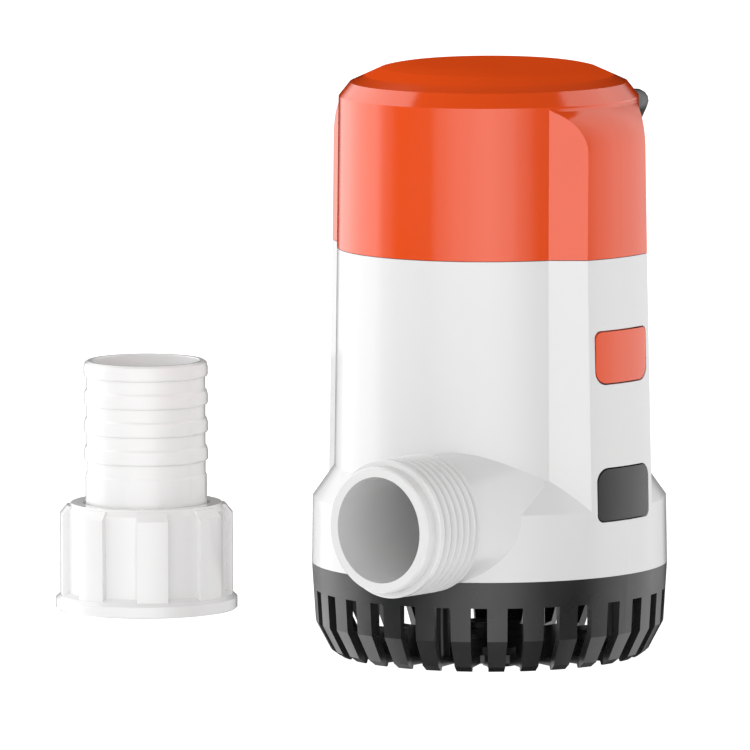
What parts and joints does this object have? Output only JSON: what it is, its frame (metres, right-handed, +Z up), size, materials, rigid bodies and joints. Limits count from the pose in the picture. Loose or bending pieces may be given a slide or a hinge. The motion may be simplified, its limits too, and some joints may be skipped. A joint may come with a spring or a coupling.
{
  "type": "bilge pump",
  "caption": "Submersible cartridge bilge pump with a latched strainer, side release buttons, threaded side outlet, cable and a barbed hose adapter with union nut.",
  "frame": {"origin": "on the pump's axis, level with the strainer's feet, which stand on z = 0", "axes": "+Z up along the pump's axis, the outlet points along -Y, the side lugs with the buttons are at +X and -X, the cable leaves at +Y"},
  "size_m": [0.1836, 0.2008, 0.1432],
  "materials": {
    "white_plastic": "gloss moulded ABS",
    "orange_plastic": "gloss moulded ABS",
    "black_plastic": "satin moulded plastic",
    "impeller_plastic": "satin moulded acetal",
    "seal_rubber": "moulded nitrile rubber",
    "cable_sheath": "satin PVC sheath",
    "core_red": "PVC insulation",
    "stainless": "turned stainless steel",
    "zinc_steel": "zinc-plated steel",
    "core_steel": "stacked laminations",
    "bronze": "sintered bronze",
    "copper": "enamelled copper",
    "ferrite": "sintered ferrite",
    "carbon": "graphite",
    "capacitor_ceramic": "dipped ceramic"
  },
  "bodies": {
    "pump": {"strainer_base": "black_plastic", "intake_plate": "black_plastic", "intake_plate_screws": "stainless", "pump_housing": "white_plastic", "motor_cap": "orange_plastic", "motor_casing": "black_plastic", "casing_oring": "seal_rubber", "cap_oring": "seal_rubber", "lower_damper": "seal_rubber", "upper_damper": "seal_rubber", "shaft_seal": "seal_rubber", "motor_can": "zinc_steel", "motor_screws": "stainless", "lower_bush": "bronze", "upper_bush": "bronze", "magnet_left": "ferrite", "magnet_right": "ferrite", "end_bell": "black_plastic", "brush_front": "carbon", "brush_back": "carbon", "brush_spring_front": "bronze", "brush_spring_back": "bronze", "lead_red": "core_red", "lead_black": "cable_sheath", "choke_left": "copper", "choke_right": "copper", "noise_capacitor": "capacitor_ceramic", "cable_gland": "seal_rubber", "supply_cable": "cable_sheath", "cable_coil": "cable_sheath", "core_red": "core_red", "core_black": "cable_sheath"},
    "rotor": {"motor_shaft": "stainless", "armature_core": "core_steel", "armature_windings": "copper", "commutator": "copper", "impeller": "impeller_plastic", "impeller_nut": "stainless"},
    "cap_button_right": {"cap_latch_right": "orange_plastic"},
    "cap_button_left": {"cap_latch_left": "orange_plastic"},
    "strainer_button_right": {"strainer_latch_right": "black_plastic"},
    "strainer_button_left": {"strainer_latch_left": "black_plastic"},
    "coupling_nut": {"union_nut": "white_plastic"},
    "hose_adapter": {"hose_tail": "white_plastic", "hose_gasket": "seal_rubber", "retaining_ring": "white_plastic"}
  },
  "joints": [
    {"name": "rotor_spin", "type": "hinge", "parent": "pump", "child": "rotor", "pos_m": [0, 0, 0.08], "axis": [0, 0, 1], "continuous": true},
    {"name": "cap_button_right_press", "type": "hinge", "parent": "pump", "child": "cap_button_right", "pos_m": [0.0393, 0, 0.101], "axis": [0, 1, 0], "range_deg": [0, 4.3], "stiffness_Nm_per_rad": 0.9},
    {"name": "cap_button_left_press", "type": "hinge", "parent": "pump", "child": "cap_button_left", "pos_m": [-0.0393, 0, 0.101], "axis": [0, -1, 0], "range_deg": [0, 4.3], "stiffness_Nm_per_rad": 0.9},
    {"name": "strainer_button_right_press", "type": "hinge", "parent": "pump", "child": "strainer_button_right", "pos_m": [0.0393, 0, 0.019], "axis": [0, -1, 0], "range_deg": [0, 4.8], "stiffness_Nm_per_rad": 0.9},
    {"name": "strainer_button_left_press", "type": "hinge", "parent": "pump", "child": "strainer_button_left", "pos_m": [-0.0393, 0, 0.019], "axis": [0, 1, 0], "range_deg": [0, 4.8], "stiffness_Nm_per_rad": 0.9},
    {"name": "adapter_lift", "type": "slide", "parent": "pump", "child": "hose_adapter", "axis": [0, 0, 1], "range_m": [0, 0.08]},
    {"name": "nut_spin", "type": "hinge", "parent": "hose_adapter", "child": "coupling_nut", "pos_m": [-0.118, 0.009, 0.012], "axis": [0, 0, 1], "continuous": true}
  ]
}
